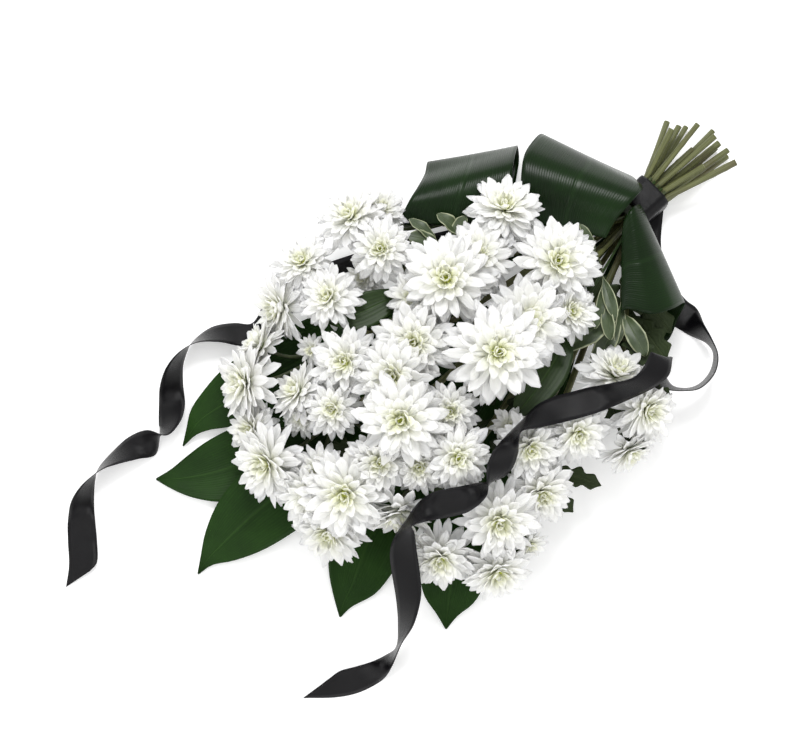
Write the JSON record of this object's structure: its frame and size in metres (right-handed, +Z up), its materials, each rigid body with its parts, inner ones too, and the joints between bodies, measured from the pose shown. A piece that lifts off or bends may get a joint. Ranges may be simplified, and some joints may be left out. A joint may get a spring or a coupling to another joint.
{
  "type": "funeral bouquet",
  "caption": "Hand-tied funeral sheaf of white spray chrysanthemums lying on its back, with glossy leaves, a rolled-leaf collar, bundled stems and long black satin ribbon tails.",
  "frame": {"origin": "On the supporting surface, under the middle of the bouquet's box.", "axes": "+Z up; +Y along the stems towards their cut ends; the flower heads and leaf tips are towards -Y; +X to the right of someone looking along +Y from above."},
  "size_m": [0.3527, 0.691, 0.1439],
  "materials": {
    "bloom": "soft matte white petals with a yellow-green centre; olive stems and green calyxes",
    "leaf": "glossy dark green leaf",
    "rolled_leaf": "glossy very dark green leaf with fine parallel veins",
    "variegated_leaf": "satin grey-green with a pale margin",
    "tie": "matte dark green floral tape",
    "satin": "black satin ribbon"
  },
  "bodies": {
    "root": {"chrysanthemum_spray_01": "bloom", "chrysanthemum_spray_02": "bloom", "chrysanthemum_spray_03": "bloom", "chrysanthemum_spray_04": "bloom", "chrysanthemum_spray_05": "bloom", "chrysanthemum_spray_06": "bloom", "chrysanthemum_spray_07": "bloom", "chrysanthemum_spray_08": "bloom", "chrysanthemum_spray_09": "bloom", "chrysanthemum_spray_10": "bloom", "chrysanthemum_spray_11": "bloom", "chrysanthemum_spray_12": "bloom", "chrysanthemum_spray_13": "bloom", "chrysanthemum_spray_14": "bloom", "aspidistra_leaf_01": "leaf", "aspidistra_leaf_02": "leaf", "aspidistra_leaf_03": "leaf", "aspidistra_leaf_04": "leaf", "aspidistra_leaf_05": "leaf", "inner_leaf_01": "leaf", "inner_leaf_02": "leaf", "aspidistra_roll_01": "rolled_leaf", "aspidistra_roll_02": "rolled_leaf", "aspidistra_roll_03": "rolled_leaf", "pittosporum_sprig_01": "variegated_leaf", "pittosporum_sprig_02": "variegated_leaf", "pittosporum_sprig_03": "variegated_leaf", "binding_tie": "tie", "ribbon_band": "satin", "ribbon_tail_left": "satin", "ribbon_tail_right": "satin"}
  },
  "joints": []
}
